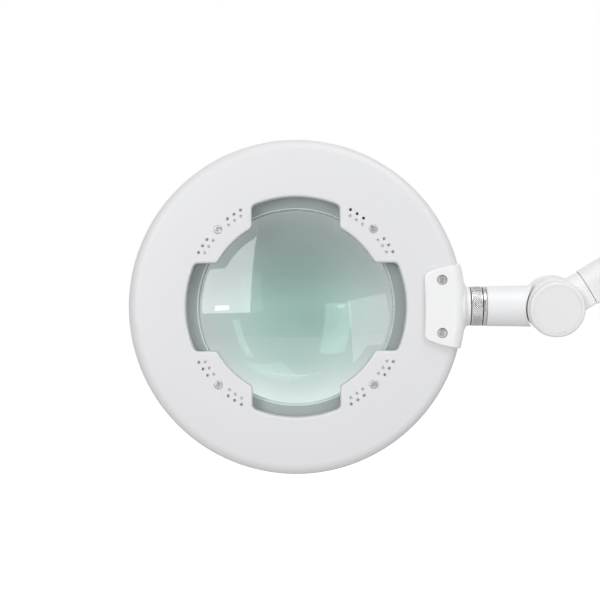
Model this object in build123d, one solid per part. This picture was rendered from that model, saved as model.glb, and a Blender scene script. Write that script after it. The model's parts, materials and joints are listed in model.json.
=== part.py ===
from build123d import *
import os
from math import atan2, cos, degrees, radians, sin, sqrt

os.makedirs("parts", exist_ok=True)

# A table-clamp magnifying lamp, in millimetres, +Z up.
# The origin is the middle of the upper jaw's face, where the post's axis meets the tabletop.
# The arms swing in the XZ plane and the head's face looks along -Y.

# ---- driving dimensions -------------------------------------------------------------------
LENS_R = 63.5                # a standard 127 mm lens
LENS_CURVE = 209.0           # radius of both lens faces, for 5 dioptres in crown glass
LENS_EDGE = 3.0
LENS_Z = 1.0                 # middle plane of the lens, above the head's middle

HEAD_R = 108.0
HEAD_TOP = 17.0              # crest of the cover above the head's middle
HEAD_BOTTOM = -17.0
CREST_R = 86.0
CORE_R = 45.0
WALL = 2.4
WINDOW_R = 71.0              # outer arcs of the four notches
WINDOW_HALF = 28.35          # half-width of a notch
TAB_R = 58.2                 # where the four tabs reach in to
WINDOW_CORNER = 3.5
COVER_SCREW_R = 70.5
HEAD_ROLL = 7.8              # the head's face is turned up about the stem by this angle

STEM_REACH = 167.8           # from the head's axis to the knuckle's axis
ARM_LENGTH = 400.0
UPPER_ANGLE = 31.0           # upper arm above the horizontal
LOWER_ANGLE = 70.0           # lower arm above the horizontal
ELBOW_SPACING = 52.0
ELBOW_ANGLE = 140.0
SHOULDER_HEIGHT = 95.0

CHEEK_R = 18.7
CHEEK_INNER = 5.7            # half of the fork's slot
CHEEK_OUTER = 13.0
CAP_R = 18.0
CAP_FACE = 19.0
TONGUE_R = 16.5
TONGUE_HALF = 5.4
CLEAR_R = 19.7               # concave ends are cut to this radius about a pivot
PIVOT_R = 2.5
RUN = 0.05                   # radial clearance of a running fit
HUB_R = 3.7
SLOT_HALF = 1.6              # lead, rod and spring slot in the middle of a tongue
LINK_OFFSET = 6.2            # rod pins from the pivots
SPRING_OFFSET = 5.5          # spring pins from the pivots
LINK_ANGLE = 170.0           # direction of the rod pins as seen from the pivots

ARM_DEPTH = 26.0
ARM_HEIGHT = 22.8
ARM_WALL = 1.5
ARM_ARCH = 10.5
ARM_START = 24.5             # where the profile begins, from a pivot
PLUG_END = 50.0
SEAM = 0.5                   # groove between a fork's neck and its arm
WINDOW_DEPTH = 13.0          # way through a fork's root for the rod, spring and lead
WINDOW_HEIGHT = 16.8

JAW_OPEN = 28.0              # tabletop thickness that the clamp is shown on
SCREW_R = 4.95
POST_PIN_R = 6.4

SHOULDER = (0.0, SHOULDER_HEIGHT)


def step(point, angle, distance):
    """The point of the XZ plane at a distance from another one."""
    return (point[0] + distance * cos(radians(angle)), point[1] + distance * sin(radians(angle)))


ELBOW_LOW = step(SHOULDER, LOWER_ANGLE, ARM_LENGTH)
ELBOW_HIGH = step(ELBOW_LOW, ELBOW_ANGLE, ELBOW_SPACING)
KNUCKLE = step(ELBOW_HIGH, UPPER_ANGLE + 180, ARM_LENGTH)
HEAD = (KNUCKLE[0] - STEM_REACH, KNUCKLE[1])

HEAD_PLACE = Pos(HEAD[0], 0, HEAD[1]) * Rot(90 - HEAD_ROLL, 0, 0)
STEM_PLACE = Pos(HEAD[0], 0, HEAD[1])


# ---- simple solids ------------------------------------------------------------------------
FROM_END = (Align.CENTER, Align.CENTER, Align.MIN)


def rod_x(radius, start, end, y=0, z=0):
    return Pos(start, y, z) * Rot(0, 90, 0) * Cylinder(radius, end - start, align=FROM_END)


def rod_y(radius, start, end, x=0, z=0):
    return Pos(x, start, z) * Rot(-90, 0, 0) * Cylinder(radius, end - start, align=FROM_END)


def rod_z(radius, start, end, x=0, y=0):
    return Pos(x, y, start) * Cylinder(radius, end - start, align=FROM_END)


def block(x, y, z):
    """A box between pairs of limits."""
    size = (x[1] - x[0], y[1] - y[0], z[1] - z[0])
    middle = ((x[0] + x[1]) / 2, (y[0] + y[1]) / 2, (z[0] + z[1]) / 2)
    return Pos(*middle) * Box(*size)


def turned(*points):
    """A solid of revolution about Z from (radius, height) points."""
    return revolve(Plane.XZ * Polygon(*points, align=None), Axis.Z)


def turned_x(*points):
    """A solid of revolution about X from (distance along X, radius) points."""
    return revolve(Plane.XZ * Polygon(*points, align=None), Axis.X)


def ring_z(inner, outer, start, end):
    return rod_z(outer, start, end) - rod_z(inner, start - 1, end + 1)


def tube_along(points, radius, bends):
    """A lead through points, its corners rounded by tangent arcs."""
    path = FilletPolyline(*points, radius=bends)
    start = Plane(origin=path @ 0, z_dir=path % 0)
    return sweep(start * Circle(radius), path=path)


def joined(solids):
    """Separate solids of one sub-part."""
    return Compound(children=[solid for item in solids for solid in item.solids()])


def polar(radius, angle):
    return (radius * cos(radians(angle)), radius * sin(radians(angle)))


# ---- head: cover, lens and housing, about the head's own axis ------------------------------
COVER_CORNER = 7.0
EDGE_DROP = 1.4              # fall of the cover's face from its crest to the rim
INNER_DROP = 1.4
SKIRT = 2.4                  # wall round the window
SKIRT_FOOT = 4.5
SEAT_TOP = 3.2
LIP_ROUND = 1.4
LIP_INNER = 62.3             # ledges under the lens's edge
GASKET_R = 64.3
FIT = 0.1                    # gap between fixed parts that fit together
COVER_SCREW_HEAD_R = 2.7
COVER_SCREW_SEAT = HEAD_TOP - 1.7
VENT_R = 1.0
OUTER_VENT_R = 71.6
INNER_VENT_R = 68.0
COVER_SCREWS = [polar(COVER_SCREW_R, 45 + 90 * n) for n in range(4)]
BRACKET_SCREW_X = 93.7
BRACKET_SCREW_Y = 17.0
BRACKET_SCREWS = [(BRACKET_SCREW_X, side * BRACKET_SCREW_Y) for side in (-1, 1)]
BOARD_SCREW_R = 99.0
BOARD_SCREWS = [polar(BOARD_SCREW_R, 30 + 60 * n) for n in range(6)]
BOSS_R = 3.8
SCREW_SHANK_R = 1.5
SLEEVE_R = 11.0
LEAD_R = 1.2
BUTTON_AT = polar(97.5, 300)
BUTTON_R = 4.0
FLOOR_TOP = HEAD_BOTTOM + WALL
HOUSING_CORNER = 5.0
PARTING = 0.05               # joint between the cover and the housing


def cover_blank(inset, floor):
    """The solid inside the cover's outer face, moved inwards by inset."""
    edge = HEAD_R - inset
    top = HEAD_TOP - inset
    face = make_face([
        Line((CORE_R, floor), (edge, floor)),
        Line((edge, floor), (edge, top - EDGE_DROP)),
        ThreePointArc((edge, top - EDGE_DROP), (CREST_R, top), (CORE_R, top - INNER_DROP)),
        Line((CORE_R, top - INNER_DROP), (CORE_R, floor)),
    ])
    corner = face.vertices().sort_by(Axis.X)[-2:].sort_by(Axis.Y)[-1]
    return revolve(Plane.XZ * fillet(corner, COVER_CORNER - inset), Axis.Z)


def window_plan():
    """The cross-shaped window: a round hole with four wider notches."""
    bar = 2 * WINDOW_HALF
    arms = Rectangle(bar, 2 * WINDOW_R) + Rectangle(2 * WINDOW_R, bar)
    plan = Circle(TAB_R) + (arms & Circle(WINDOW_R))
    return fillet(plan.vertices(), WINDOW_CORNER)


def vent_arc(radius, first_angle, tab, side, floor):
    """Three small holes in an arc on one side of a tab's screw, down to a floor."""
    places = [polar(radius, 45 + 90 * tab + side * (first_angle + 4.0 * n)) for n in range(3)]
    return [rod_z(VENT_R, floor, HEAD_TOP + 1, x, y) for x, y in places]


def make_cover():
    blank = cover_blank(0, 0)
    plan = window_plan()
    shell = blank - extrude(plan, HEAD_TOP + 5)
    lip = [e for e in shell.edges() if e.center().Z > HEAD_TOP - INNER_DROP - 1
           and 0 < sqrt(e.center().X ** 2 + e.center().Y ** 2) < WINDOW_R + 1]
    shell = fillet(lip, LIP_ROUND)
    hollow = cover_blank(WALL, -1) - extrude(offset(plan, SKIRT), HEAD_TOP + 5)
    shell -= hollow
    shell -= rod_z(WINDOW_R + SKIRT + 1, -1, SKIRT_FOOT)
    for x, y in COVER_SCREWS:
        shell += rod_z(BOSS_R, SEAT_TOP + RUN, COVER_SCREW_SEAT, x, y)
        shell -= rod_z(COVER_SCREW_HEAD_R + FIT, COVER_SCREW_SEAT, HEAD_TOP + 1, x, y)
        shell -= rod_z(SCREW_SHANK_R + FIT, 0, HEAD_TOP, x, y)
    for x, y in BRACKET_SCREWS:
        shell += rod_z(BOSS_R, 0.6, HEAD_TOP - WALL / 2, x, y)
        shell -= rod_z(SCREW_SHANK_R + RUN, 0, HEAD_TOP + 1, x, y)
    # Three of the outer vents go through the wall, over the thin lead; the others are dimples.
    for tab in range(4):
        for side in (-1, 1):
            through = (tab, side) == (0, 1)
            shell -= vent_arc(OUTER_VENT_R, 7.5, tab, side, HEAD_TOP - (5 if through else 2.1))
            shell -= vent_arc(INNER_VENT_R, 6.0, tab, side, HEAD_TOP - 1.3)
    shell -= rod_x(SLEEVE_R + FIT, CREST_R, HEAD_R + 1)
    return shell


def lens_height(radius):
    """How far a lens face stands above the lens's edge."""
    return sqrt(LENS_CURVE ** 2 - radius ** 2) - sqrt(LENS_CURVE ** 2 - LENS_R ** 2)


def make_lens():
    half = LENS_EDGE / 2
    face = make_face([
        ThreePointArc((0, half + lens_height(0)), (40, half + lens_height(40)), (LENS_R, half)),
        Line((LENS_R, half), (LENS_R, -half)),
        ThreePointArc((LENS_R, -half), (40, -half - lens_height(40)), (0, -half - lens_height(0))),
        Line((0, -half - lens_height(0)), (0, half + lens_height(0))),
    ])
    return Pos(0, 0, LENS_Z) * revolve(Plane.XZ * face, Axis.Z)


def make_gasket():
    foot, top = -2.6, SEAT_TOP - 0.2
    wall = LENS_R + FIT
    ring = turned((LIP_INNER, foot), (GASKET_R, foot), (GASKET_R, top),
                  (wall, top), (wall, 0), (LIP_INNER, 0))
    return ring - make_lens()


def make_barrel():
    """The grey inner barrel: it carries the lens in its gasket and is screwed up to the cover."""
    bore = 67.5
    outer = bore + 2.6
    flange_low, flange_top = 73.0, 74.0
    ledge_low, ledge_top = -5.0, -2.6
    wall = GASKET_R + FIT
    barrel = turned((LIP_INNER, ledge_low), (bore, ledge_low), (bore, HEAD_BOTTOM), (flange_low, HEAD_BOTTOM),
                    (flange_low, FLOOR_TOP), (outer, FLOOR_TOP), (outer, SEAT_TOP - 1.4),
                    (flange_top, SEAT_TOP - 1.4), (flange_top, SEAT_TOP), (wall, SEAT_TOP),
                    (wall, ledge_top), (LIP_INNER, ledge_top))
    for x, y in COVER_SCREWS:
        barrel += rod_z(BOSS_R, -13.0, 2.0, x, y) - rod_z(bore, -14, 3)
        barrel -= rod_z(SCREW_SHANK_R + RUN, -9, 5, x, y)
    return barrel


def housing_ring(inner, outer, low, high, corner_r):
    """A ring of rectangular section, its lower outer corner rounded."""
    width, height = outer - inner, high - low
    section = Pos((inner + outer) / 2, (low + high) / 2) * Rectangle(width, height)
    corner = section.vertices().sort_by(Axis.X)[-2:].sort_by(Axis.Y)[0]
    return revolve(Plane.XZ * fillet(corner, corner_r), Axis.Z)


def make_housing():
    shell = housing_ring(89.0, HEAD_R, HEAD_BOTTOM, -PARTING, HOUSING_CORNER)
    shell -= housing_ring(85.0, HEAD_R - WALL, FLOOR_TOP, 5, HOUSING_CORNER - WALL)
    for x, y in BOARD_SCREWS:
        shell += rod_z(2.6, FLOOR_TOP - 0.5, BOARD_LOW, x, y)
        shell -= rod_z(1.1, BOARD_LOW - 8, BOARD_LOW + 1, x, y)
    for x, y in BRACKET_SCREWS:
        shell += rod_z(BOSS_R, FLOOR_TOP - 0.5, -0.6, x, y)
        shell -= rod_z(SCREW_SHANK_R + RUN, HEAD_BOTTOM - 1, 0, x, y)
    shell -= rod_x(SLEEVE_R + FIT, CREST_R, HEAD_R + 1)
    shell -= rod_z(BUTTON_R + 0.2, HEAD_BOTTOM - 1, FLOOR_TOP + 1, *BUTTON_AT)
    return shell


BOARD_LOW = -3.0
BOARD_TOP = -1.4
LED_COUNT = 60


def make_led_board():
    board = ring_z(76, 102, BOARD_LOW, BOARD_TOP)
    board -= [rod_z(1.3, BOARD_LOW - 1, 0, x, y) for x, y in BOARD_SCREWS]
    return board - block((88.5, HEAD_R), (-22.5, 22.5), (BOARD_LOW - 1, 0))


def make_led_chips():
    chip = block((-1.4, 1.4), (-1.75, 1.75), (BOARD_LOW - 0.8, BOARD_LOW))
    return joined([Rot(0, 0, 360 / LED_COUNT * n) * Pos(83, 0, 0) * chip for n in range(LED_COUNT)])


def make_diffuser():
    plate = ring_z(70.3, 91.0, FLOOR_TOP + 0.05, FLOOR_TOP + 2.05)
    return plate - [rod_z(BOSS_R + 0.2, -20, 0, x, y) for x, y in BRACKET_SCREWS + COVER_SCREWS]


def cross_screw(x, y, seat, top, tip, head_r):
    """A pan-head cross-recess screw pointing down, its head between seat and top."""
    head = rod_z(head_r, seat, top, x, y)
    head = fillet(head.edges().sort_by(Axis.Z)[-1], 0.6)
    screw = head + rod_z(SCREW_SHANK_R, tip, seat + 0.2, x, y)
    length, width, depth = 3.2, 0.9, 1.8
    cross = Box(length, width, depth) + Box(width, length, depth)
    return screw - Pos(x, y, top) * Rot(0, 0, 20) * cross


def make_cover_screws():
    top = HEAD_TOP + 0.3
    return joined([cross_screw(x, y, COVER_SCREW_SEAT, top, -8, COVER_SCREW_HEAD_R) for x, y in COVER_SCREWS])


def make_board_screws():
    top = BOARD_TOP + 1.2
    return joined([rod_z(2.1, BOARD_TOP, top, x, y) + rod_z(1.0, -9, top, x, y)
                   for x, y in BOARD_SCREWS])


DRIVER_Y = 88.0
DRIVER_LOW = 4.5
DRIVER_POSTS = [(-18.0, DRIVER_Y - 3), (18.0, DRIVER_Y - 3)]


def make_driver_board():
    board = block((-22, 22), (DRIVER_Y - 8, DRIVER_Y + 8), (DRIVER_LOW, DRIVER_LOW + 1.6))
    return board - [rod_z(1.1, 0, 10, x, y) for x, y in DRIVER_POSTS]


def make_driver_standoffs():
    return joined([rod_z(2.2, BOARD_TOP, DRIVER_LOW, x, y) + rod_z(1.05, 4, DRIVER_LOW + 2.6, x, y)
                   for x, y in DRIVER_POSTS])


def make_driver_parts():
    top = DRIVER_LOW + 1.6
    inductor = rod_z(4.5, top, top + 5, -6, DRIVER_Y)
    capacitor = rod_z(3.2, top, top + 6, 6, DRIVER_Y)
    chip = block((11.5, 15.5), (DRIVER_Y + 1, DRIVER_Y + 6), (top, top + 1.5))
    return joined([inductor, capacitor, chip])


BUTTON_TRAVEL = 0.7
BUTTON_POST_TOP = FLOOR_TOP + 1.6
SWITCH_TIP = BUTTON_POST_TOP + BUTTON_TRAVEL + 0.05


def make_tact_switch():
    x, y = BUTTON_AT
    body = block((x - 3, x + 3), (y - 3, y + 3), (BOARD_LOW - 3.5, BOARD_LOW))
    return body + rod_z(1.7, SWITCH_TIP, BOARD_LOW - 3, x, y)


def make_button():
    x, y = BUTTON_AT
    cap = rod_z(BUTTON_R, HEAD_BOTTOM - 1.2, FLOOR_TOP + 0.3, x, y)
    cap = fillet(cap.edges().sort_by(Axis.Z)[0], 0.8)
    cap += rod_z(BUTTON_R + 0.8, FLOOR_TOP + 0.1, FLOOR_TOP + 1.0, x, y)
    return cap + rod_z(1.7, FLOOR_TOP, BUTTON_POST_TOP, x, y)


def make_head_leads():
    """The supply lead from the neck to the driver, and the thin one from the driver to the LEDs."""
    ends = [(94.5, 0, 0), (88.0, 2.0, 3.0)]
    around = [(*polar(88, a), 4.0) for a in (14, 28, 42, 56, 68)]
    supply = tube_along(ends + around + [(22.6, 86.5, 5.3)], LEAD_R, 6.0)
    under_vents = [(*polar(OUTER_VENT_R, a), 13.2) for a in (61.5, 51.5)]
    thin_path = [(20.5, 81.5, 7.0), (30.5, 75.0, 9.0), *under_vents, (52.0, 59.5, 7.5), (56.5, 58.5, -0.5)]
    return joined([supply, tube_along(thin_path, 0.8, 3.0)])


# ---- rim bracket and head swivel ------------------------------------------------------------
PLATE = 3.0
BRACKET_R = HEAD_R + 1.4
BRACKET_TOP = HEAD_TOP + PLATE
BRACKET_CORNER = 9.0
BRACKET_SCREW_SEAT = HEAD_TOP + 0.5
BRACKET_SCREW_HEAD_R = 2.9
NECK_R = 12.8
NECK_END = 112.9
SLEEVE_START = 97.0
BUSH_R = 9.0
SPIGOT_R = 7.0


def bracket_plan():
    """Plan of the bracket: narrow inside, wider at the rim, its inner edge slightly hollow."""
    inner = (82.1, 20.6)
    outer = (114.0, 27.6)
    middle = (94.0, 25.0)
    plan = make_face([
        ThreePointArc((inner[0], -inner[1]), (inner[0] + 0.9, 0), inner),
        ThreePointArc(inner, middle, outer),
        Line(outer, (outer[0], -outer[1])),
        ThreePointArc((outer[0], -outer[1]), (middle[0], -middle[1]), (inner[0], -inner[1])),
    ])
    return fillet(plan.vertices().sort_by(Axis.X)[:2], 4.5)


def make_bracket():
    blank = rod_z(BRACKET_R, -BRACKET_TOP, BRACKET_TOP)
    blank = fillet(blank.edges().filter_by(GeomType.CIRCLE), BRACKET_CORNER)
    plan = Pos(0, 0, -BRACKET_TOP - 1) * extrude(bracket_plan(), 2 * BRACKET_TOP + 2)
    wrap = blank & plan
    rim = [e for e in wrap.edges() if abs(abs(e.center().Z) - BRACKET_TOP) < 0.05
           and e.center().X < BRACKET_R - BRACKET_CORNER - 1]
    wrap = fillet(rim, 0.9)
    neck = turned_x((SLEEVE_START + 3, 0), (SLEEVE_START + 3, NECK_R + 4), (BRACKET_R - 1.0, NECK_R + 4),
                    (BRACKET_R + 0.6, NECK_R + 1.5), (BRACKET_R + 1.1, NECK_R), (NECK_END - 0.4, NECK_R),
                    (NECK_END, NECK_R - 0.4), (NECK_END, 0))
    wrap += neck
    wrap -= cover_blank(0, -0.1)
    wrap -= housing_blank()
    wrap += rod_x(SLEEVE_R, SLEEVE_START, NECK_END - 1)
    wrap -= rod_x(BUSH_R, SLEEVE_START - 1, NECK_END + 1)
    for x, y in BRACKET_SCREWS:
        for side in (-1, 1):
            seat = rod_z(BRACKET_SCREW_HEAD_R + 0.4, BRACKET_SCREW_SEAT, BRACKET_TOP + 1, x, y)
            hole = rod_z(SCREW_SHANK_R + 0.2, HEAD_TOP - 1, BRACKET_TOP, x, y)
            wrap -= (seat + hole) if side > 0 else Rot(180, 0, 0) * (seat + hole)
    return wrap


def housing_blank():
    """The solid inside the lower housing's outer face."""
    blank = rod_z(HEAD_R, HEAD_BOTTOM, 0)
    return fillet(blank.edges().sort_by(Axis.Z)[0], HOUSING_CORNER)


def make_bracket_screws():
    seat = BRACKET_SCREW_SEAT
    upper = [cross_screw(x, y, seat, seat + 1.5, 4, BRACKET_SCREW_HEAD_R) for x, y in BRACKET_SCREWS]
    return joined(upper + [Rot(180, 0, 0) * screw for screw in upper])


def make_neck_bush():
    flange = rod_x(BUSH_R, SLEEVE_START, NECK_END - 0.1)
    return flange - rod_x(SPIGOT_R + RUN, SLEEVE_START - 1, NECK_END + 1)


COLLAR_START = 113.4
COLLAR_END = 120.7
RING_START = 121.2
RING_END = 123.6
COLLAR_R = 12.8
THREAD_R = 8.5


def make_lock_collar():
    collar = rod_x(COLLAR_R, COLLAR_START, COLLAR_END)
    collar = chamfer(collar.edges().filter_by(GeomType.CIRCLE), 0.5)
    return collar - rod_x(THREAD_R + RUN, 0, 200)


def make_collar_ring():
    ring = rod_x(COLLAR_R + 0.1, RING_START, RING_END)
    ring = fillet(ring.edges().sort_by(Axis.X)[-1], 1.0)
    ring -= block((RING_START - 1, RING_START + 1.1), (-14, -11), (-1.6, 0.6))
    return ring - rod_x(THREAD_R, 0, 200)


SPIGOT_START = 99.1
TIP_R = 5.6
TIP_START = 96.2
CLIP_THICKNESS = 0.6
STEM_END = 156.0
LINK_HALF = 8.0              # half-height of the web that joins a tongue to its part
LEAD_WAY_R = 2.5             # drilling for the lead


def make_stem():
    """The stem: a spigot in the neck, a threaded collar seat, a tapered body and a tongue."""
    profile = [(SPIGOT_START, 0), (SPIGOT_START, SPIGOT_R - 0.6), (SPIGOT_START + 0.6, SPIGOT_R),
               (NECK_END + 0.2, SPIGOT_R), (NECK_END + 0.2, THREAD_R), (RING_END, THREAD_R),
               (RING_END, COLLAR_R - 0.2), (RING_END + 0.7, COLLAR_R + 0.25), (140, 13.2),
               (STEM_END, 13.6), (STEM_END, 0)]
    stem = turned_x(*profile) + rod_x(TIP_R, TIP_START, SPIGOT_START + 0.1)
    stem -= rod_y(CLEAR_R, -20, 20, STEM_REACH)
    stem += Pos(STEM_REACH, 0, 0) * tongue()
    stem += block((140, STEM_REACH - TONGUE_R + 3), (-TONGUE_HALF, TONGUE_HALF), (-LINK_HALF, LINK_HALF))
    stem -= rod_x(LEAD_WAY_R, 90, STEM_REACH - HUB_R - 3)
    stem -= rod_x(8.0, 128, 142)             # the body is cored out behind the thread
    return stem - slot_ring(STEM_REACH)


def make_swivel_clip():
    """A push-on ring on the stem's tip, which holds the head on."""
    return rod_x(TIP_R + 3, TIP_START + 0.1, TIP_START + 0.1 + CLIP_THICKNESS) - rod_x(TIP_R, 90, 100)


def make_stem_lead():
    return rod_x(LEAD_R, TIP_START + 0.3, STEM_REACH - TONGUE_R - 1)


# ---- knuckles: tongues, forks, bolts and caps ------------------------------------------------
def slot_ring(x, z=0):
    """The slot in the middle of a tongue, all round its hub."""
    return rod_y(TONGUE_R + 0.5, -SLOT_HALF, SLOT_HALF, x, z) - rod_y(HUB_R, -5, 5, x, z)


def tongue():
    """A disc with a pivot hole, between a fork's cheeks."""
    return rod_y(TONGUE_R, -TONGUE_HALF, TONGUE_HALF) - rod_y(PIVOT_R + RUN, -20, 20)


def arm_section(depth, height, arch, base=1.5):
    """The arms' section: flat sides and bottom under a rounded arch."""
    face = Rectangle(depth, height)
    top = face.vertices().sort_by(Axis.Y)[-2:]
    face = fillet(top, arch)
    bottom = face.vertices().sort_by(Axis.Y)[:2]
    return fillet(bottom, base)


def arm_bar(section, start, end):
    return extrude(Plane.YZ.offset(start) * section, end - start)


def make_fork():
    """One end of an arm, its pivot at the origin and the arm along +X."""
    neck_section = arm_section(ARM_DEPTH - 0.6, ARM_HEIGHT - 0.9, ARM_ARCH - 0.4)
    gap = 2 * (ARM_WALL + FIT)
    plug_section = arm_section(ARM_DEPTH - gap, ARM_HEIGHT - gap, ARM_ARCH - ARM_WALL - FIT)
    neck_start = 8.0
    fork = arm_bar(neck_section, neck_start, ARM_START - SEAM)
    fork += arm_bar(plug_section, ARM_START - 2, PLUG_END)
    fork -= rod_y(TONGUE_R + 0.5, -CHEEK_INNER, CHEEK_INNER)
    fork += rod_y(CHEEK_R, -CHEEK_OUTER, -CHEEK_INNER)
    fork += rod_y(CHEEK_R, CHEEK_INNER, CHEEK_OUTER)
    window = arm_bar(arm_section(WINDOW_DEPTH, WINDOW_HEIGHT, 3), neck_start, PLUG_END + 1)
    window -= block((0, ARM_START), (-20, -CHEEK_INNER), (-20, 20))
    window -= block((0, ARM_START), (CHEEK_INNER, 20), (-20, 20))
    fork -= window
    fork -= rod_y(CAP_REBATE_R, -CHEEK_OUTER, -CHEEK_FLOOR)
    fork -= rod_y(CAP_REBATE_R, CHEEK_FLOOR, CHEEK_OUTER)
    return fork - rod_y(PIVOT_R + RUN, -20, 20)


CHEEK_FLOOR = CHEEK_OUTER - 1.3      # bottom of the shallow rebate that takes a cap
CAP_REBATE_R = 16.3
CAP_HOLLOW_R = 14.4
NUT_R = 4.6
WASHER_R = 14.0


def make_bolt():
    shank = rod_y(PIVOT_R, -CHEEK_OUTER, CHEEK_OUTER + 3.6)
    head = Plane.XZ.offset(CHEEK_FLOOR) * RegularPolygon(NUT_R, 6)
    return shank + extrude(head, 3.5)


def make_nut():
    nut = extrude(Plane.XZ.offset(-CHEEK_FLOOR) * RegularPolygon(NUT_R, 6), -4.0)
    return nut - rod_y(PIVOT_R + 0.02, 0, 30)


def make_washers():
    washer = rod_y(WASHER_R, TONGUE_HALF + 0.02, CHEEK_INNER) - rod_y(PIVOT_R + RUN, 0, 20)
    return [washer, Rot(0, 0, 180) * washer]


def make_cap():
    """A knuckle's cover on its -Y side: a shallow cup with a rounded rim and a fine ring line."""
    cap = rod_y(CAP_R, -CAP_FACE, -CHEEK_OUTER)
    cap = fillet(cap.edges().sort_by(Axis.Y)[0], 1.6)
    line_outer = CAP_R - 2.4
    cap -= rod_y(line_outer, -CAP_FACE - 1, -CAP_FACE + 0.25) - rod_y(line_outer - 0.5, -30, 0)
    cap += rod_y(CAP_REBATE_R - FIT, -CHEEK_OUTER - 0.5, -CHEEK_FLOOR - FIT)
    return cap - rod_y(CAP_HOLLOW_R, -CAP_FACE + 2, 0)


def at(pivot, angle=0.0):
    """Place a sub-part at a pivot of the arms, its X axis turned up by an angle."""
    return Pos(pivot[0], 0, pivot[1]) * Rot(0, -angle, 0)


# Both ends of an arm keep its arch upwards, so the far end is turned about the arm's upright.
LOWER_LOW_END = at(SHOULDER, LOWER_ANGLE)
LOWER_HIGH_END = at(ELBOW_LOW, LOWER_ANGLE) * Rot(0, 0, 180)
UPPER_LOW_END = at(KNUCKLE, UPPER_ANGLE)
UPPER_HIGH_END = at(ELBOW_HIGH, UPPER_ANGLE) * Rot(0, 0, 180)


def both_ends(solids, first, second):
    return joined([place * solid for solid in solids for place in (first, second)])


def make_caps(*pivots):
    return joined([at(pivot) * Rot(0, 0, turn) * make_cap() for pivot in pivots for turn in (0, 180)])


def make_arm_tube():
    outer = arm_section(ARM_DEPTH, ARM_HEIGHT, ARM_ARCH)
    inner = arm_section(ARM_DEPTH - 2 * ARM_WALL, ARM_HEIGHT - 2 * ARM_WALL, ARM_ARCH - ARM_WALL, 0.8)
    end = ARM_LENGTH - ARM_START
    tube = arm_bar(outer, ARM_START, end) - arm_bar(inner, ARM_START - 1, end + 1)
    return tube - rod_y(ANCHOR_R, -20, 20, ANCHOR_AT, -ANCHOR_DROP)


ANCHOR_AT = 250.0            # the springs' anchor pins, along the arms
ANCHOR_DROP = 3.0
ANCHOR_R = 1.5


def make_anchor_pin():
    half = ARM_DEPTH / 2 - 0.2
    return rod_y(ANCHOR_R, -half, half, ANCHOR_AT, -ANCHOR_DROP)


def spring(hook, coil_start, coil_end, anchor):
    """A tension spring: its close-wound coil as a sleeve, and a straight shank and eye each end."""
    line_start = Vector(hook[0], 0, hook[1])
    line_end = Vector(anchor[0], 0, anchor[1])
    length = (line_end - line_start).length
    angle = degrees(atan2(anchor[1] - hook[1], anchor[0] - hook[0]))
    wire = 0.6
    coil_r = 4.0
    inside = (coil_start + 2 * wire, coil_end - 2 * wire)
    coil = rod_x(coil_r, coil_start, coil_end) - rod_x(coil_r - 2 * wire, *inside)
    shanks = rod_x(wire, 1.4, coil_start + 0.5) + rod_x(wire, coil_end - 0.5, length - 2.4)
    small_eye = rod_y(PIN_R + 0.65, -wire, wire) - rod_y(PIN_R + 0.15, -1, 1)
    large_eye = rod_y(ANCHOR_R + 1.3, -wire, wire, length) - rod_y(ANCHOR_R + 0.2, -1, 1, length)
    return Pos(hook[0], 0, hook[1]) * Rot(0, -angle, 0) * (coil + shanks + small_eye + large_eye)


def along_arm(pivot, angle, point):
    """A point of the XZ plane as distances along and above an arm."""
    dx = point[0] - pivot[0]
    dz = point[1] - pivot[1]
    c = cos(radians(angle))
    s = sin(radians(angle))
    return (dx * c + dz * s, dz * c - dx * s)


LOWER_SPRING_PIN = step(SHOULDER, LINK_ANGLE + 180, SPRING_OFFSET)
UPPER_SPRING_PIN = step(ELBOW_HIGH, UPPER_ANGLE + 90, SPRING_OFFSET)
ROD_PIN_LOW = step(SHOULDER, LINK_ANGLE, LINK_OFFSET)
ROD_PIN_HIGH = step(ELBOW_LOW, LINK_ANGLE, LINK_OFFSET)
PIN_R = 1.0


def make_lower_spring():
    hook = along_arm(SHOULDER, LOWER_ANGLE, LOWER_SPRING_PIN)
    return LOWER_LOW_END * spring(hook, 60, 220, (ANCHOR_AT, -ANCHOR_DROP))


def make_upper_spring():
    along, above = along_arm(ELBOW_HIGH, UPPER_ANGLE, UPPER_SPRING_PIN)
    return UPPER_HIGH_END * spring((-along, above), 60, 220, (ANCHOR_AT, -ANCHOR_DROP))


def make_rod():
    """The parallel rod; its elbow end has the looser hole, because that pivot is left open."""
    half = 1.3
    eye_r = 2.2
    rod = rod_x(half, 1.8, ARM_LENGTH - 1.8)
    eyes = rod_y(eye_r, -half, half) + rod_y(eye_r, -half, half, ARM_LENGTH)
    holes = rod_y(PIN_R + RUN, -2, 2) + rod_y(PIN_R + 0.2, -2, 2, ARM_LENGTH)
    return at(ROD_PIN_LOW, LOWER_ANGLE) * (rod + eyes - holes)


def cross_pin(place):
    return rod_y(PIN_R, -TONGUE_HALF + 0.3, TONGUE_HALF - 0.3, *place)


def pin_hole(place):
    return rod_y(PIN_R, -TONGUE_HALF - 1, TONGUE_HALF + 1, *place)


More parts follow.
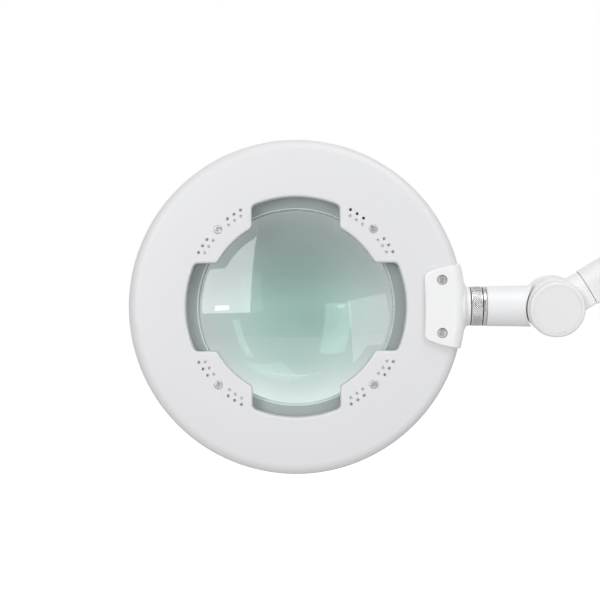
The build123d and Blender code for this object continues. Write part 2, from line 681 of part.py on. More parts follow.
def make_elbow_block():
    """Two tongues joined by a waist, cut hollow about both pivots."""
    half = ELBOW_SPACING / 2
    waist_length, waist_depth, waist_height = 28.0, 25.0, 19.0
    waist = Box(waist_length, waist_depth, waist_height)
    waist = fillet(waist.edges().filter_by(Axis.X), 3)
    waist -= rod_y(CLEAR_R, -20, 20, -half) + rod_y(CLEAR_R, -20, 20, half)
    body = waist + block((-half, half), (-TONGUE_HALF, TONGUE_HALF), (-9, 9))
    for x in (-half, half):
        body += Pos(x, 0, 0) * tongue()
    for x in (-half, half):
        body -= slot_ring(x) + rod_y(PIVOT_R + RUN, -20, 20, x)
    middle = step(ELBOW_LOW, ELBOW_ANGLE, half)
    body = at(middle, ELBOW_ANGLE) * body
    return body - pin_hole(ROD_PIN_HIGH) - pin_hole(UPPER_SPRING_PIN)


# ---- shoulder post ---------------------------------------------------------------------------
POST_FOOT = 41.6
POST_R = 13.4
INLET_Z = 56.0
JACK_R = 5.45


def make_post():
    body = rod_z(POST_R, POST_FOOT, SHOULDER_HEIGHT - 8)
    flange_r = POST_R + 3.1
    body += turned((0, POST_FOOT), (flange_r, POST_FOOT), (flange_r, POST_FOOT + 3),
                   (POST_R, POST_FOOT + 8), (0, POST_FOOT + 8))
    body -= rod_y(CLEAR_R, -20, 20, 0, SHOULDER_HEIGHT)
    body += Pos(0, 0, SHOULDER_HEIGHT) * tongue()
    web = (SHOULDER_HEIGHT - CLEAR_R - 9, SHOULDER_HEIGHT - TONGUE_R + 3)
    body += block((-LINK_HALF, LINK_HALF), (-TONGUE_HALF, TONGUE_HALF), web)
    body += rod_z(POST_PIN_R, 4, POST_FOOT)
    body = chamfer(body.edges().sort_by(Axis.Z)[0], 0.8)
    body -= rod_z(POST_PIN_R + 1, 20, 24) - rod_z(POST_PIN_R - 1.2, 19, 25)
    body -= slot_ring(0, SHOULDER_HEIGHT)
    body -= rod_y(PIVOT_R + RUN, -20, 20, 0, SHOULDER_HEIGHT)
    body -= rod_x(JACK_R + RUN, POST_R - 12, POST_R + 5, z=INLET_Z)
    body -= rod_z(1.6, INLET_Z, SHOULDER_HEIGHT - TONGUE_R + 2)
    return body - pin_hole(ROD_PIN_LOW) - pin_hole(LOWER_SPRING_PIN)


def make_inlet():
    """A 5.5 mm barrel jack with its centre contact."""
    shell = rod_x(JACK_R, POST_R - 10.5, POST_R + 0.6, z=INLET_Z)
    flange = rod_x(JACK_R + 1.15, POST_R + 0.1, POST_R + 1.2, z=INLET_Z)
    shell += flange - rod_z(POST_R, 0, SHOULDER_HEIGHT)
    shell -= rod_x(2.8, POST_R - 8.5, POST_R + 2, z=INLET_Z)
    return shell + rod_x(1.0, POST_R - 9, POST_R + 0.2, z=INLET_Z)


# ---- table clamp -----------------------------------------------------------------------------
BOSS_TOP = 40.0
SPINE_IN = 34.0
SPINE_OUT = 45.0
CLAMP_HALF = 17.0
LOWER_JAW_TOP = -66.0
LOWER_JAW_BASE = -76.0
RETAINER_Z = 22.0
RETAINER_R = 2.45            # the retaining screw's threaded shank
RETAINER_HOLE_R = 2.5
RETAINER_TIP_R = 1.7
POST_BUSH_R = 8.0
POST_BUSH_FOOT = 3.6
CLAMP_NUT_R = 7.5
PAD_THICKNESS = 1.5


def make_clamp_body():
    upper = block((-25, SPINE_OUT), (-CLAMP_HALF, CLAMP_HALF), (PAD_THICKNESS, 10))
    spine = block((SPINE_IN, SPINE_OUT), (-CLAMP_HALF, CLAMP_HALF), (LOWER_JAW_BASE, 10))
    lower = block((-14, SPINE_OUT), (-CLAMP_HALF, CLAMP_HALF), (LOWER_JAW_BASE, LOWER_JAW_TOP))
    body = upper + spine + lower
    body = fillet(body.edges().filter_by(Axis.Y), 3.0)
    body = fillet(body.edges().filter_by(Axis.Z), 4.0)
    body += rod_z(14, 9, BOSS_TOP)
    body -= rod_z(POST_BUSH_R, POST_BUSH_FOOT - 0.1, BOSS_TOP + 1)
    body -= rod_z(CLAMP_NUT_R, LOWER_JAW_BASE - 1, LOWER_JAW_TOP + 1)
    return body - rod_y(RETAINER_HOLE_R, -20, 0, 0, RETAINER_Z)


def make_post_bush():
    bore = POST_PIN_R + RUN
    flange_r, flange_top = 13.5, BOSS_TOP + 1.5
    bush = turned((bore, POST_BUSH_FOOT), (POST_BUSH_R, POST_BUSH_FOOT), (POST_BUSH_R, BOSS_TOP),
                  (flange_r, BOSS_TOP), (flange_r, flange_top), (bore, flange_top))
    return bush - rod_y(RETAINER_HOLE_R, -20, 0, 0, RETAINER_Z)


def make_retaining_screw():
    """A thumb screw whose plain tip runs in the post's groove."""
    collar_face = -14.2
    grip_start, grip_end, grip_r = -23.0, -15.0, 7.0
    shank = rod_y(RETAINER_R, collar_face, -POST_PIN_R - 0.3, 0, RETAINER_Z)
    shank += rod_y(RETAINER_TIP_R, -10, -POST_PIN_R + 0.8, 0, RETAINER_Z)
    knob = rod_y(grip_r, grip_start, grip_end, 0, RETAINER_Z)
    knob = fillet(knob.edges().filter_by(GeomType.CIRCLE), 1.2)
    return shank + knob + rod_y(4.0, grip_end - 0.2, collar_face, 0, RETAINER_Z)


def make_jaw_pad():
    pad = block((-23, 31), (-15, 15), (0, PAD_THICKNESS))
    return fillet(pad.edges().filter_by(Axis.Z), 3)


def make_clamp_nut():
    nut = rod_z(CLAMP_NUT_R, LOWER_JAW_BASE, LOWER_JAW_TOP)
    nut += rod_z(CLAMP_NUT_R + 2.5, LOWER_JAW_TOP, LOWER_JAW_TOP + 2)
    return nut - rod_z(SCREW_R + RUN, -90, -50)


PAD_BASE = -JAW_OPEN - 7.5
SCREW_HEAD_TOP = -104.0
SCREW_HEAD_BASE = -119.0
BAR_Z = -111.5
BAR_R = 3.0
BAR_HALF = 32.0
SCREW_TIP_R = 3.0
SCREW_TIP_TOP = PAD_BASE + 4.2
SCREW_HEAD_R = 8.0
BAR_KNOB_R = 4.6
BAR_KNOB_LENGTH = 9.0


def make_clamp_screw():
    screw = rod_z(SCREW_R, SCREW_HEAD_TOP - 1, PAD_BASE - 0.3)
    screw += rod_z(SCREW_TIP_R, PAD_BASE - 1, SCREW_TIP_TOP)
    head = rod_z(SCREW_HEAD_R, SCREW_HEAD_BASE, SCREW_HEAD_TOP)
    screw += chamfer(head.edges().filter_by(GeomType.CIRCLE), 1.2)
    return screw - rod_x(BAR_R + RUN, -20, 20, z=BAR_Z)


def make_pressure_pad():
    plate_r, plate_top = 17.0, -JAW_OPEN - PAD_THICKNESS
    pad = turned((0, PAD_BASE), (8, PAD_BASE), (10, PAD_BASE + 2.5), (plate_r, PAD_BASE + 3.5),
                 (plate_r, plate_top), (0, plate_top))
    return pad - rod_z(SCREW_TIP_R + RUN, PAD_BASE - 1, SCREW_TIP_TOP + 0.1)


def make_pad_rubber():
    return rod_z(16.4, -JAW_OPEN - PAD_THICKNESS, -JAW_OPEN)


def make_tommy_bar():
    return rod_x(BAR_R, -BAR_HALF, BAR_HALF, z=BAR_Z)


def make_tommy_knobs():
    knob = rod_x(BAR_KNOB_R, BAR_HALF, BAR_HALF + BAR_KNOB_LENGTH, z=BAR_Z)
    knob = fillet(knob.edges().filter_by(GeomType.CIRCLE), 1.4)
    return joined([knob, Rot(0, 0, 180) * knob])


# ---- leads held inside the arms --------------------------------------------------------------
def make_arm_lead(place):
    near = [(ARM_START + 2, 4.7, 2.0), (PLUG_END + 2, 4.8, 2.0), (PLUG_END + 22, 8.6, 2.0)]
    far = [(ARM_LENGTH - x, y, z) for x, y, z in reversed(near)]
    return place * tube_along(near + far, LEAD_R, 40.0)


PARTS = {
    "head_top_cover": lambda: HEAD_PLACE * make_cover(),
    "head_lower_housing": lambda: HEAD_PLACE * make_housing(),
    "lens": lambda: HEAD_PLACE * make_lens(),
    "lens_gasket": lambda: HEAD_PLACE * make_gasket(),
    "lens_barrel": lambda: HEAD_PLACE * make_barrel(),
    "led_board": lambda: HEAD_PLACE * make_led_board(),
    "led_chips": lambda: HEAD_PLACE * make_led_chips(),
    "diffuser": lambda: HEAD_PLACE * make_diffuser(),
    "cover_screws": lambda: HEAD_PLACE * make_cover_screws(),
    "board_screws": lambda: HEAD_PLACE * make_board_screws(),
    "driver_board": lambda: HEAD_PLACE * make_driver_board(),
    "driver_standoffs": lambda: HEAD_PLACE * make_driver_standoffs(),
    "driver_parts": lambda: HEAD_PLACE * make_driver_parts(),
    "tact_switch": lambda: HEAD_PLACE * make_tact_switch(),
    "power_button": lambda: HEAD_PLACE * make_button(),
    "head_leads": lambda: HEAD_PLACE * make_head_leads(),
    "rim_bracket": lambda: HEAD_PLACE * make_bracket(),
    "bracket_screws": lambda: HEAD_PLACE * make_bracket_screws(),
    "neck_bush": lambda: HEAD_PLACE * make_neck_bush(),
    "lock_collar": lambda: STEM_PLACE * make_lock_collar(),
    "collar_ring": lambda: STEM_PLACE * make_collar_ring(),
    "stem": lambda: STEM_PLACE * make_stem(),
    "swivel_clip": lambda: STEM_PLACE * make_swivel_clip(),
    "stem_lead": lambda: STEM_PLACE * make_stem_lead(),
    "knuckle_fork": lambda: UPPER_LOW_END * make_fork(),
    "upper_arm_caps": lambda: make_caps(KNUCKLE, ELBOW_HIGH),
    "upper_arm_tube": lambda: UPPER_HIGH_END * make_arm_tube(),
    "elbow_upper_fork": lambda: UPPER_HIGH_END * make_fork(),
    "upper_arm_bolts": lambda: both_ends([make_bolt()], UPPER_LOW_END, UPPER_HIGH_END),
    "upper_arm_nuts": lambda: both_ends([make_nut()], UPPER_LOW_END, UPPER_HIGH_END),
    "upper_arm_washers": lambda: both_ends(make_washers(), UPPER_LOW_END, UPPER_HIGH_END),
    "upper_anchor_pin": lambda: UPPER_HIGH_END * make_anchor_pin(),
    "upper_spring": make_upper_spring,
    "upper_arm_lead": lambda: make_arm_lead(UPPER_LOW_END),
    "elbow_block": make_elbow_block,
    "elbow_pins": lambda: joined([cross_pin(ROD_PIN_HIGH), cross_pin(UPPER_SPRING_PIN)]),
    "elbow_lower_fork": lambda: LOWER_HIGH_END * make_fork(),
    "lower_arm_caps": lambda: make_caps(ELBOW_LOW, SHOULDER),
    "lower_arm_tube": lambda: LOWER_LOW_END * make_arm_tube(),
    "shoulder_fork": lambda: LOWER_LOW_END * make_fork(),
    "lower_arm_bolts": lambda: both_ends([make_bolt()], LOWER_LOW_END, LOWER_HIGH_END),
    "lower_arm_nuts": lambda: both_ends([make_nut()], LOWER_LOW_END, LOWER_HIGH_END),
    "lower_arm_washers": lambda: both_ends(make_washers(), LOWER_LOW_END, LOWER_HIGH_END),
    "lower_anchor_pin": lambda: LOWER_LOW_END * make_anchor_pin(),
    "lower_spring": make_lower_spring,
    "lower_arm_lead": lambda: make_arm_lead(LOWER_LOW_END),
    "parallel_rod": make_rod,
    "shoulder_post": make_post,
    "shoulder_pins": lambda: joined([cross_pin(ROD_PIN_LOW), cross_pin(LOWER_SPRING_PIN)]),
    "power_inlet": make_inlet,
    "clamp_body": make_clamp_body,
    "post_bush": make_post_bush,
    "retaining_screw": make_retaining_screw,
    "jaw_pad": make_jaw_pad,
    "clamp_nut": make_clamp_nut,
    "clamp_screw": make_clamp_screw,
    "pressure_pad": make_pressure_pad,
    "pad_rubber": make_pad_rubber,
    "tommy_bar": make_tommy_bar,
    "tommy_knobs": make_tommy_knobs,
}

for name, make in PARTS.items():
    shape = make()
    export_step(shape, f"parts/{name}.step")
    print(name, round(shape.volume, 1))
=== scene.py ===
import json
import math

import bmesh
import bpy
from mathutils import Matrix, Quaternion, Vector


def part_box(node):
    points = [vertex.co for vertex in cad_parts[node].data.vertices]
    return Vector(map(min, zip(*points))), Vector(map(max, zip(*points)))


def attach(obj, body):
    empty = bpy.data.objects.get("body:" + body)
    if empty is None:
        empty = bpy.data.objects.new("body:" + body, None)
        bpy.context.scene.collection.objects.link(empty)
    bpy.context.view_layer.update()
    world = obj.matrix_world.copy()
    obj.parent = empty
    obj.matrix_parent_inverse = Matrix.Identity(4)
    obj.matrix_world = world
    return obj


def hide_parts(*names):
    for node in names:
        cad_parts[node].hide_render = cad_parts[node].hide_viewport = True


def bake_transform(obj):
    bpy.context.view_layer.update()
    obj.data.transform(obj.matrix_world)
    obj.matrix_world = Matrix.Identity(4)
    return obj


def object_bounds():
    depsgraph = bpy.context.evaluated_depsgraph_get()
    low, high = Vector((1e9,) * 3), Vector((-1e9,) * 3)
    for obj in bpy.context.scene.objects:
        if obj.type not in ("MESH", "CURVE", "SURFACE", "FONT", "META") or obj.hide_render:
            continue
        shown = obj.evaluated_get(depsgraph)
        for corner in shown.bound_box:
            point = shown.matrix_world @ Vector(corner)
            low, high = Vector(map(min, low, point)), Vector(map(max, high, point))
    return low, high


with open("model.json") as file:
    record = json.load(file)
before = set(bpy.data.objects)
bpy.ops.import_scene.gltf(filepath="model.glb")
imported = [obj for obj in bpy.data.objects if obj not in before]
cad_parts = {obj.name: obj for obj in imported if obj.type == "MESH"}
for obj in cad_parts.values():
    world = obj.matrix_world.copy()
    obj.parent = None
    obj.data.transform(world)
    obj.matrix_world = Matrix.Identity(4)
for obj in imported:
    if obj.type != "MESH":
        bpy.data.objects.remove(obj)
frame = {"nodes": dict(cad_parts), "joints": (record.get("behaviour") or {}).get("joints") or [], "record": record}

CAD_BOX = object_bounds()
NODES = frame["nodes"]
JOINTS = {joint["name"]: joint for joint in frame["joints"]}
MM = 0.001

# ---- places read from the frame -------------------------------------------------------------
X_AXIS, Y_AXIS, Z_AXIS = Vector((1, 0, 0)), Vector((0, 1, 0)), Vector((0, 0, 1))
FACE = Vector(JOINTS["power_press"]["axis"]).normalized()       # out of the head's top face
STEM = Vector(JOINTS["head_swivel"]["axis"]).normalized()       # from the head to the knuckle
UP = FACE.cross(STEM)


def middle(node):
    low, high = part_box(node)
    return (Vector(low) + Vector(high)) / 2


LENS = middle("lens")
CREST = max(v.co.dot(FACE) for v in NODES["head_top_cover"].data.vertices)
HEAD_FRONT = LENS + FACE * (CREST - LENS.dot(FACE))
SCREW_TRAVEL = 26 * MM                    # how far the clamp screw can go down, with a little room
FLOOR_Z = CAD_BOX[0].z - SCREW_TRAVEL

LENS_RADIUS = 63.5 * MM
LENS_CURVE = 209.0 * MM                   # radius of both faces
THIN_LEAD_REACH = 85.3 * MM               # the thin lead lies nearer to the lens's middle than this


# ---- shader helpers -------------------------------------------------------------------------
def new_material(name):
    material = bpy.data.materials.new(name)
    material.use_nodes = True
    tree = material.node_tree
    return material, tree, tree.nodes["Principled BSDF"]


def add(tree, kind, inputs=None, **settings):
    node = tree.nodes.new(kind)
    for name, value in settings.items():
        setattr(node, name, value)
    for name, value in (inputs or {}).items():
        if isinstance(value, bpy.types.NodeSocket):
            tree.links.new(value, node.inputs[name])
        else:
            node.inputs[name].default_value = value
    return node


def place(tree, stretch=(1, 1, 1), turn=(0, 0, 0)):
    """Object coordinates in metres, stretched to lengthen a pattern along an axis."""
    where = add(tree, "ShaderNodeTexCoord").outputs["Object"]
    return add(tree, "ShaderNodeMapping", {"Vector": where, "Scale": stretch, "Rotation": turn}).outputs[0]


def noise(tree, vector, scale, detail=3.0, roughness=0.5):
    values = {"Vector": vector, "Scale": scale, "Detail": detail, "Roughness": roughness}
    return add(tree, "ShaderNodeTexNoise", values).outputs["Fac"]


def between(tree, factor, low, high):
    values = {"Value": factor, "From Min": 0.3, "From Max": 0.7, "To Min": low, "To Max": high}
    return add(tree, "ShaderNodeMapRange", values).outputs["Result"]


def blend(tree, factor, first, second):
    mix = add(tree, "ShaderNodeMix", data_type="RGBA")
    for socket, value in zip((mix.inputs[0], mix.inputs[6], mix.inputs[7]), (factor, first, second)):
        if isinstance(value, bpy.types.NodeSocket):
            tree.links.new(value, socket)
        else:
            socket.default_value = value
    return mix.outputs[2]


def multiply(tree, first, second):
    mix = add(tree, "ShaderNodeMix", data_type="RGBA", blend_type="MULTIPLY")
    mix.inputs[0].default_value = 1.0
    tree.links.new(first, mix.inputs[6])
    tree.links.new(second, mix.inputs[7])
    return mix.outputs[2]


def bump(tree, height, distance, normal=None):
    values = {"Height": height, "Distance": distance, "Strength": 1.0}
    if normal is not None:
        values["Normal"] = normal
    return add(tree, "ShaderNodeBump", values).outputs["Normal"]


def soft_spot(tree, centre, radius):
    """1 at a point of the object, falling smoothly to 0 at a distance from it."""
    where = add(tree, "ShaderNodeTexCoord").outputs["Object"]
    away = add(tree, "ShaderNodeVectorMath", {0: where, 1: centre}, operation="DISTANCE").outputs["Value"]
    values = {"Value": away, "From Min": radius, "From Max": 0.0}
    return add(tree, "ShaderNodeMapRange", values, interpolation_type="SMOOTHSTEP").outputs["Result"]


def near_zero(tree, value, inner, outer, centre=0.0):
    """1 where a value is within inner of the centre, falling smoothly to 0 at outer."""
    offset = add(tree, "ShaderNodeMath", {0: value, 1: centre}, operation="SUBTRACT").outputs["Value"]
    size = add(tree, "ShaderNodeMath", {0: offset}, operation="ABSOLUTE").outputs["Value"]
    values = {"Value": size, "From Min": outer, "From Max": inner}
    return add(tree, "ShaderNodeMapRange", values, interpolation_type="SMOOTHSTEP").outputs["Result"]


def shade(colour, factor):
    return (colour[0] * factor, colour[1] * factor, colour[2] * factor, 1.0)


def drive(tree, shader, **sockets):
    for name, socket in sockets.items():
        tree.links.new(socket, shader.inputs[name.replace("_", " ")])


# ---- materials ------------------------------------------------------------------------------
def moulded(name, colour, roughness=0.42, grain=1.0, inner=None):
    """Injection-moulded plastic: fine spark texture, faint flow marks and handling smears.

    What lies near the lens takes the inner colour, if there is one."""
    material, tree, shader = new_material(name)
    where = place(tree)
    flow = noise(tree, where, 35, 2.0)
    spark = noise(tree, where, 2600, 2.0, 0.6)
    smear = noise(tree, where, 120, 4.0, 0.65)
    drive(tree, shader,
          Base_Color=blend(tree, flow, shade(colour, 0.985), shade(colour, 1.0)),
          Roughness=between(tree, smear, roughness - 0.05, roughness + 0.06),
          Normal=bump(tree, spark, 0.00002 * grain, bump(tree, flow, 0.00005 * grain)))
    if inner:
        near_axis = soft_spot(tree, LENS, THIN_LEAD_REACH)
        cut = add(tree, "ShaderNodeMath", {0: near_axis, 1: 0.0}, operation="GREATER_THAN").outputs["Value"]
        plain = shader.inputs["Base Color"].links[0].from_socket
        drive(tree, shader, Base_Color=blend(tree, cut, plain, shade(inner, 1.0)))
    return material


def knurled_metal(name, colour, roughness=0.3):
    """Turned metal with a diamond knurl: painted shade darkens the grooves and a painted highlight lightens the
    points.
    """
    material, tree, shader = new_material(name)
    height = add(tree, "ShaderNodeAttribute", attribute_name="height").outputs["Fac"]
    grime = noise(tree, place(tree), 900, 3.0, 0.6)
    drive(tree, shader,
          # painted shade in the grooves and painted highlight on the points, set by groove depth
          Base_Color=blend(tree, height, shade(colour, 0.22), shade(colour, 1.2)),
          Roughness=between(tree, grime, roughness - 0.06, roughness + 0.12))
    shader.inputs["Metallic"].default_value = 1.0
    return material


def powder_coat(name, colour, roughness=0.36):
    """Powder-coated metal: orange peel with a fine speckle under a thin clear film."""
    material, tree, shader = new_material(name)
    where = place(tree)
    peel = noise(tree, where, 900, 1.5, 0.45)
    speckle = noise(tree, where, 5200, 2.0)
    patches = noise(tree, where, 60, 3.0)
    drive(tree, shader,
          Base_Color=blend(tree, speckle, shade(colour, 0.97), shade(colour, 1.01)),
          Roughness=between(tree, patches, roughness - 0.04, roughness + 0.05),
          Normal=bump(tree, peel, 0.00006))
    shader.inputs["Coat Weight"].default_value = 0.15
    shader.inputs["Coat Roughness"].default_value = 0.2
    return material


def turned_metal(name, colour, roughness=0.28, along=(1, 0, 0)):
    """Lathe-turned metal: fine lines round the axis, and lighter worn edges."""
    material, tree, shader = new_material(name)
    stretch = tuple(60.0 if axis else 1.5 for axis in along)
    lines = noise(tree, place(tree, stretch), 90, 3.0, 0.7)
    patches = noise(tree, place(tree), 160, 3.0)
    worn = add(tree, "ShaderNodeNewGeometry").outputs["Pointiness"]
    values = {"Value": worn, "From Min": 0.51, "From Max": 0.58}
    edge = add(tree, "ShaderNodeMapRange", values).outputs["Result"]
    tone = blend(tree, lines, shade(colour, 0.82), shade(colour, 1.0))
    drive(tree, shader,
          Base_Color=blend(tree, edge, tone, shade(colour, 1.2)),
          Roughness=between(tree, patches, roughness - 0.06, roughness + 0.1),
          Normal=bump(tree, lines, 0.00001))
    shader.inputs["Metallic"].default_value = 1.0
    return material


def plated(name, colour, roughness=0.3):
    """Zinc-plated or drawn steel: cloudy plating with fine pitting."""
    material, tree, shader = new_material(name)
    where = place(tree)
    cloud = noise(tree, where, 420, 4.0, 0.6)
    pits = noise(tree, where, 4000, 2.0)
    drive(tree, shader,
          Base_Color=blend(tree, cloud, shade(colour, 0.8), shade(colour, 1.05)),
          Roughness=between(tree, cloud, roughness - 0.08, roughness + 0.12),
          Normal=bump(tree, pits, 0.000012))
    shader.inputs["Metallic"].default_value = 1.0
    return material


def rubber(name, colour, roughness=0.75):
    """Rubber: a fine grain with a cloudy bloom."""
    material, tree, shader = new_material(name)
    where = place(tree)
    bloom = noise(tree, where, 150, 4.0, 0.6)
    grain = noise(tree, where, 3000, 3.0)
    drive(tree, shader,
          Base_Color=blend(tree, bloom, shade(colour, 0.85), shade(colour, 1.2)),
          Roughness=between(tree, bloom, roughness - 0.06, roughness + 0.1),
          Normal=bump(tree, grain, 0.00005))
    return material


def thickness_tint(tree, middle_tint, edge_tint):
    """The glass's colour where it is thickest and thinnest. A lens thins with the square of its radius."""
    off_axis = add(tree, "ShaderNodeVectorMath", {0: place(tree), 1: LENS}, operation="DISTANCE")
    squared = add(tree, "ShaderNodeMath", {0: off_axis.outputs["Value"], 1: 2.0}, operation="POWER")
    values = {"Value": squared.outputs["Value"], "From Max": LENS_RADIUS ** 2}
    thin = add(tree, "ShaderNodeMapRange", values).outputs["Result"]
    return blend(tree, thin, middle_tint, edge_tint)


def lens_glass(name):
    """Green-tinted optical glass with faint smears, and two soft patches of painted shade that dim it."""
    material, tree, shader = new_material(name)
    smears = noise(tree, place(tree), 45, 4.0, 0.6)
    clear = blend(tree, smears, (0.945, 0.985, 0.985, 1.0), (0.97, 1.0, 1.0, 1.0))
    # painted shade: the glass tint is darkened in two soft patches, one beside the middle and one near the top
    painted_dim = (0.82, 0.865, 0.86, 1.0)
    beside_middle = soft_spot(tree, LENS + STEM * 14 * MM - UP * 8 * MM, 22 * MM)
    near_top = soft_spot(tree, LENS - STEM * 22 * MM + UP * 50 * MM, 24 * MM)
    tint = blend(tree, beside_middle, clear, painted_dim)
    tint = blend(tree, near_top, tint, painted_dim)
    depth = thickness_tint(tree, (0.440, 0.590, 0.555, 1.0), (0.865, 0.915, 0.912, 1.0))
    tint = multiply(tree, tint, depth)
    shader.inputs["Roughness"].default_value = 0.0
    shader.inputs["IOR"].default_value = 1.52
    shader.inputs["Transmission Weight"].default_value = 1.0
    drive(tree, shader, Base_Color=tint)
    lets_lamps_through(tree, shader, (0.72, 0.82, 0.80, 1.0))
    density = 70.0
    loss_per_metre = (11.5, 7.5, 8.5)
    colour = tuple(1 - value / density for value in loss_per_metre) + (1.0,)
    absorb = add(tree, "ShaderNodeVolumeAbsorption", {"Color": colour, "Density": density})
    tree.links.new(absorb.outputs[0], tree.nodes["Material Output"].inputs["Volume"])
    return material


def lets_lamps_through(tree, shader, colour):
    """Glass that dims the light behind it instead of casting a full shadow."""
    shadow = add(tree, "ShaderNodeLightPath").outputs["Is Shadow Ray"]
    clear = add(tree, "ShaderNodeBsdfTransparent", {"Color": colour}).outputs[0]
    mixed = add(tree, "ShaderNodeMixShader", {0: shadow, 1: shader.outputs[0], 2: clear}).outputs[0]
    tree.links.new(mixed, tree.nodes["Material Output"].inputs["Surface"])


def frosted(name, colour):
    """Diffuser sheet: milky, with a fine prismatic texture."""
    material, tree, shader = new_material(name)
    cells = add(tree, "ShaderNodeTexVoronoi", {"Vector": place(tree), "Scale": 900.0}).outputs["Distance"]
    milk = noise(tree, place(tree), 40, 2.0)
    drive(tree, shader,
          Base_Color=blend(tree, milk, shade(colour, 0.97), shade(colour, 1.0)),
          Roughness=between(tree, milk, 0.4, 0.5),
          Normal=bump(tree, cells, 0.0001))
    shader.inputs["Subsurface Weight"].default_value = 0.3
    shader.inputs["Subsurface Scale"].default_value = 0.003
    return material


def circuit(name, colour):
    """Solder mask with a faint copper pattern below it."""
    material, tree, shader = new_material(name)
    tracks = add(tree, "ShaderNodeTexBrick", {"Vector": place(tree), "Scale": 160.0}).outputs["Fac"]
    mask = noise(tree, place(tree), 700, 2.0)
    drive(tree, shader,
          Base_Color=blend(tree, tracks, shade(colour, 1.0), shade(colour, 0.8)),
          Roughness=between(tree, mask, 0.3, 0.42),
          Normal=bump(tree, tracks, 0.00003))
    return material


def phosphor(name, colour):
    """The yellow cover of a white LED chip."""
    material, tree, shader = new_material(name)
    cloud = noise(tree, place(tree), 1500, 2.0)
    drive(tree, shader,
          Base_Color=blend(tree, cloud, shade(colour, 0.85), shade(colour, 1.05)),
          Roughness=between(tree, cloud, 0.2, 0.35))
    return material


def make_materials():
    """One material for each material slot of the record."""
    return {
        "head_shell": moulded("head_shell", (0.735, 0.738, 0.75), 0.44),
        "lens_glass": lens_glass("lens_glass"),
        "gasket_grey": rubber("gasket_grey", (0.74, 0.77, 0.77), 0.5),
        "seat_grey": moulded("seat_grey", (0.39, 0.435, 0.435), 0.35),
        "circuit_board": circuit("circuit_board", (0.80, 0.81, 0.81)),
        "led_cover": phosphor("led_cover", (0.86, 0.74, 0.30)),
        "frosted_diffuser": frosted("frosted_diffuser", (0.86, 0.87, 0.88)),
        "screw_steel": plated("screw_steel", (0.84, 0.85, 0.86)),
        "circuit_green": circuit("circuit_green", (0.05, 0.22, 0.10)),
        "brass_fitting": turned_metal("brass_fitting", (0.70, 0.52, 0.22), along=(0, 1, 0)),
        "component_black": moulded("component_black", (0.035, 0.035, 0.038), 0.5),
        "button_grey": rubber("button_grey", (0.45, 0.47, 0.50), 0.6),
        # the pink near the lens is partly the lead's own colour, made paler as painted light for the dim hollow
        # under the vents
        "lead_white": moulded("lead_white", (0.74, 0.74, 0.72), 0.5, inner=(0.98, 0.55, 0.66)),
        "bracket_white": powder_coat("bracket_white", (0.86, 0.864, 0.87), 0.34),
        "bearing_plastic": moulded("bearing_plastic", (0.66, 0.66, 0.64), 0.45),
        "collar_metal": turned_metal("collar_metal", (0.66, 0.66, 0.67), 0.3),
        "arm_white": powder_coat("arm_white", (0.83, 0.835, 0.845), 0.38),
        "cap_white": moulded("cap_white", (0.80, 0.803, 0.81), 0.36, 0.6),
        "spring_steel": plated("spring_steel", (0.40, 0.41, 0.43), 0.35),
        "clamp_white": powder_coat("clamp_white", (0.83, 0.835, 0.84), 0.4),
        "knob_black": moulded("knob_black", (0.04, 0.04, 0.043), 0.45, 1.6),
        "pad_rubber": rubber("pad_rubber", (0.045, 0.045, 0.048)),
    }


def dress_nodes(materials):
    """Give every CAD node the material of its slot."""
    for part in frame["record"]["subparts"]:
        mesh = NODES[part["node"]].data
        mesh.materials.clear()
        mesh.materials.append(materials[part["material_slot"]])


# ---- pieces made in mesh --------------------------------------------------------------------
def piece_from(name, vertices, faces, material, body, replaced, heights=None):
    """A mesh piece that stands for a CAD node. With no body, it is left unattached."""
    mesh = bpy.data.meshes.new(name)
    mesh.from_pydata(vertices, [], faces)
    mesh.validate()
    if heights:
        layer = mesh.attributes.new("height", "FLOAT", "POINT")
        layer.data.foreach_set("value", heights)
    work = bmesh.new()
    work.from_mesh(mesh)
    bmesh.ops.recalc_face_normals(work, faces=work.faces)
    work.to_mesh(mesh)
    work.free()
    mesh.shade_smooth()
    mesh.set_sharp_from_angle(angle=math.radians(35))
    mesh.materials.append(material)
    piece = bpy.data.objects.new(name, mesh)
    bpy.context.scene.collection.objects.link(piece)
    if body:
        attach(piece, body)
    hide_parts(replaced)
    return piece


def rings_to_faces(rings, sides):
    """Faces that join each ring of vertices to the next."""
    faces = []
    for ring in range(rings - 1):
        for side in range(sides):
            after = (side + 1) % sides
            low, high = ring * sides, (ring + 1) * sides
            faces.append((low + side, low + after, high + after, high + side))
    return faces


def shape_round(axis_start, axis, across, stations, sides, radius_at):
    """Vertices and faces of a round piece: one ring for each station along its axis."""
    third = axis.cross(across)
    vertices = []
    for step, station in enumerate(stations):
        for side in range(sides):
            angle = 2 * math.pi * side / sides
            radius = radius_at(step, station, angle)
            out = across * math.cos(angle) + third * math.sin(angle)
            vertices.append(axis_start + axis * station + out * radius)
    return vertices, rings_to_faces(len(stations), sides)


def ridge(value):
    """A triangle wave: 1 on whole numbers, 0 half way between."""
    return abs(2 * (value - math.floor(value)) - 1)


def make_lens(material):
    """The lens, with true spherical faces."""
    crown = max((v.co - LENS).dot(FACE) for v in NODES["lens"].data.vertices)
    rings, sides = 48, 180
    radii = [LENS_RADIUS * n / rings for n in range(rings + 1)]
    heights = [crown - LENS_CURVE + math.sqrt(LENS_CURVE ** 2 - radius ** 2) for radius in radii]
    radii[0] = 0.001 * MM
    stations = [-height for height in heights] + heights[::-1]
    reach = radii + radii[::-1]
    vertices, faces = shape_round(LENS, FACE, STEM, stations, sides, lambda step, station, angle: reach[step])
    piece_from("spherical_lens", vertices, faces, material, "head", "lens")


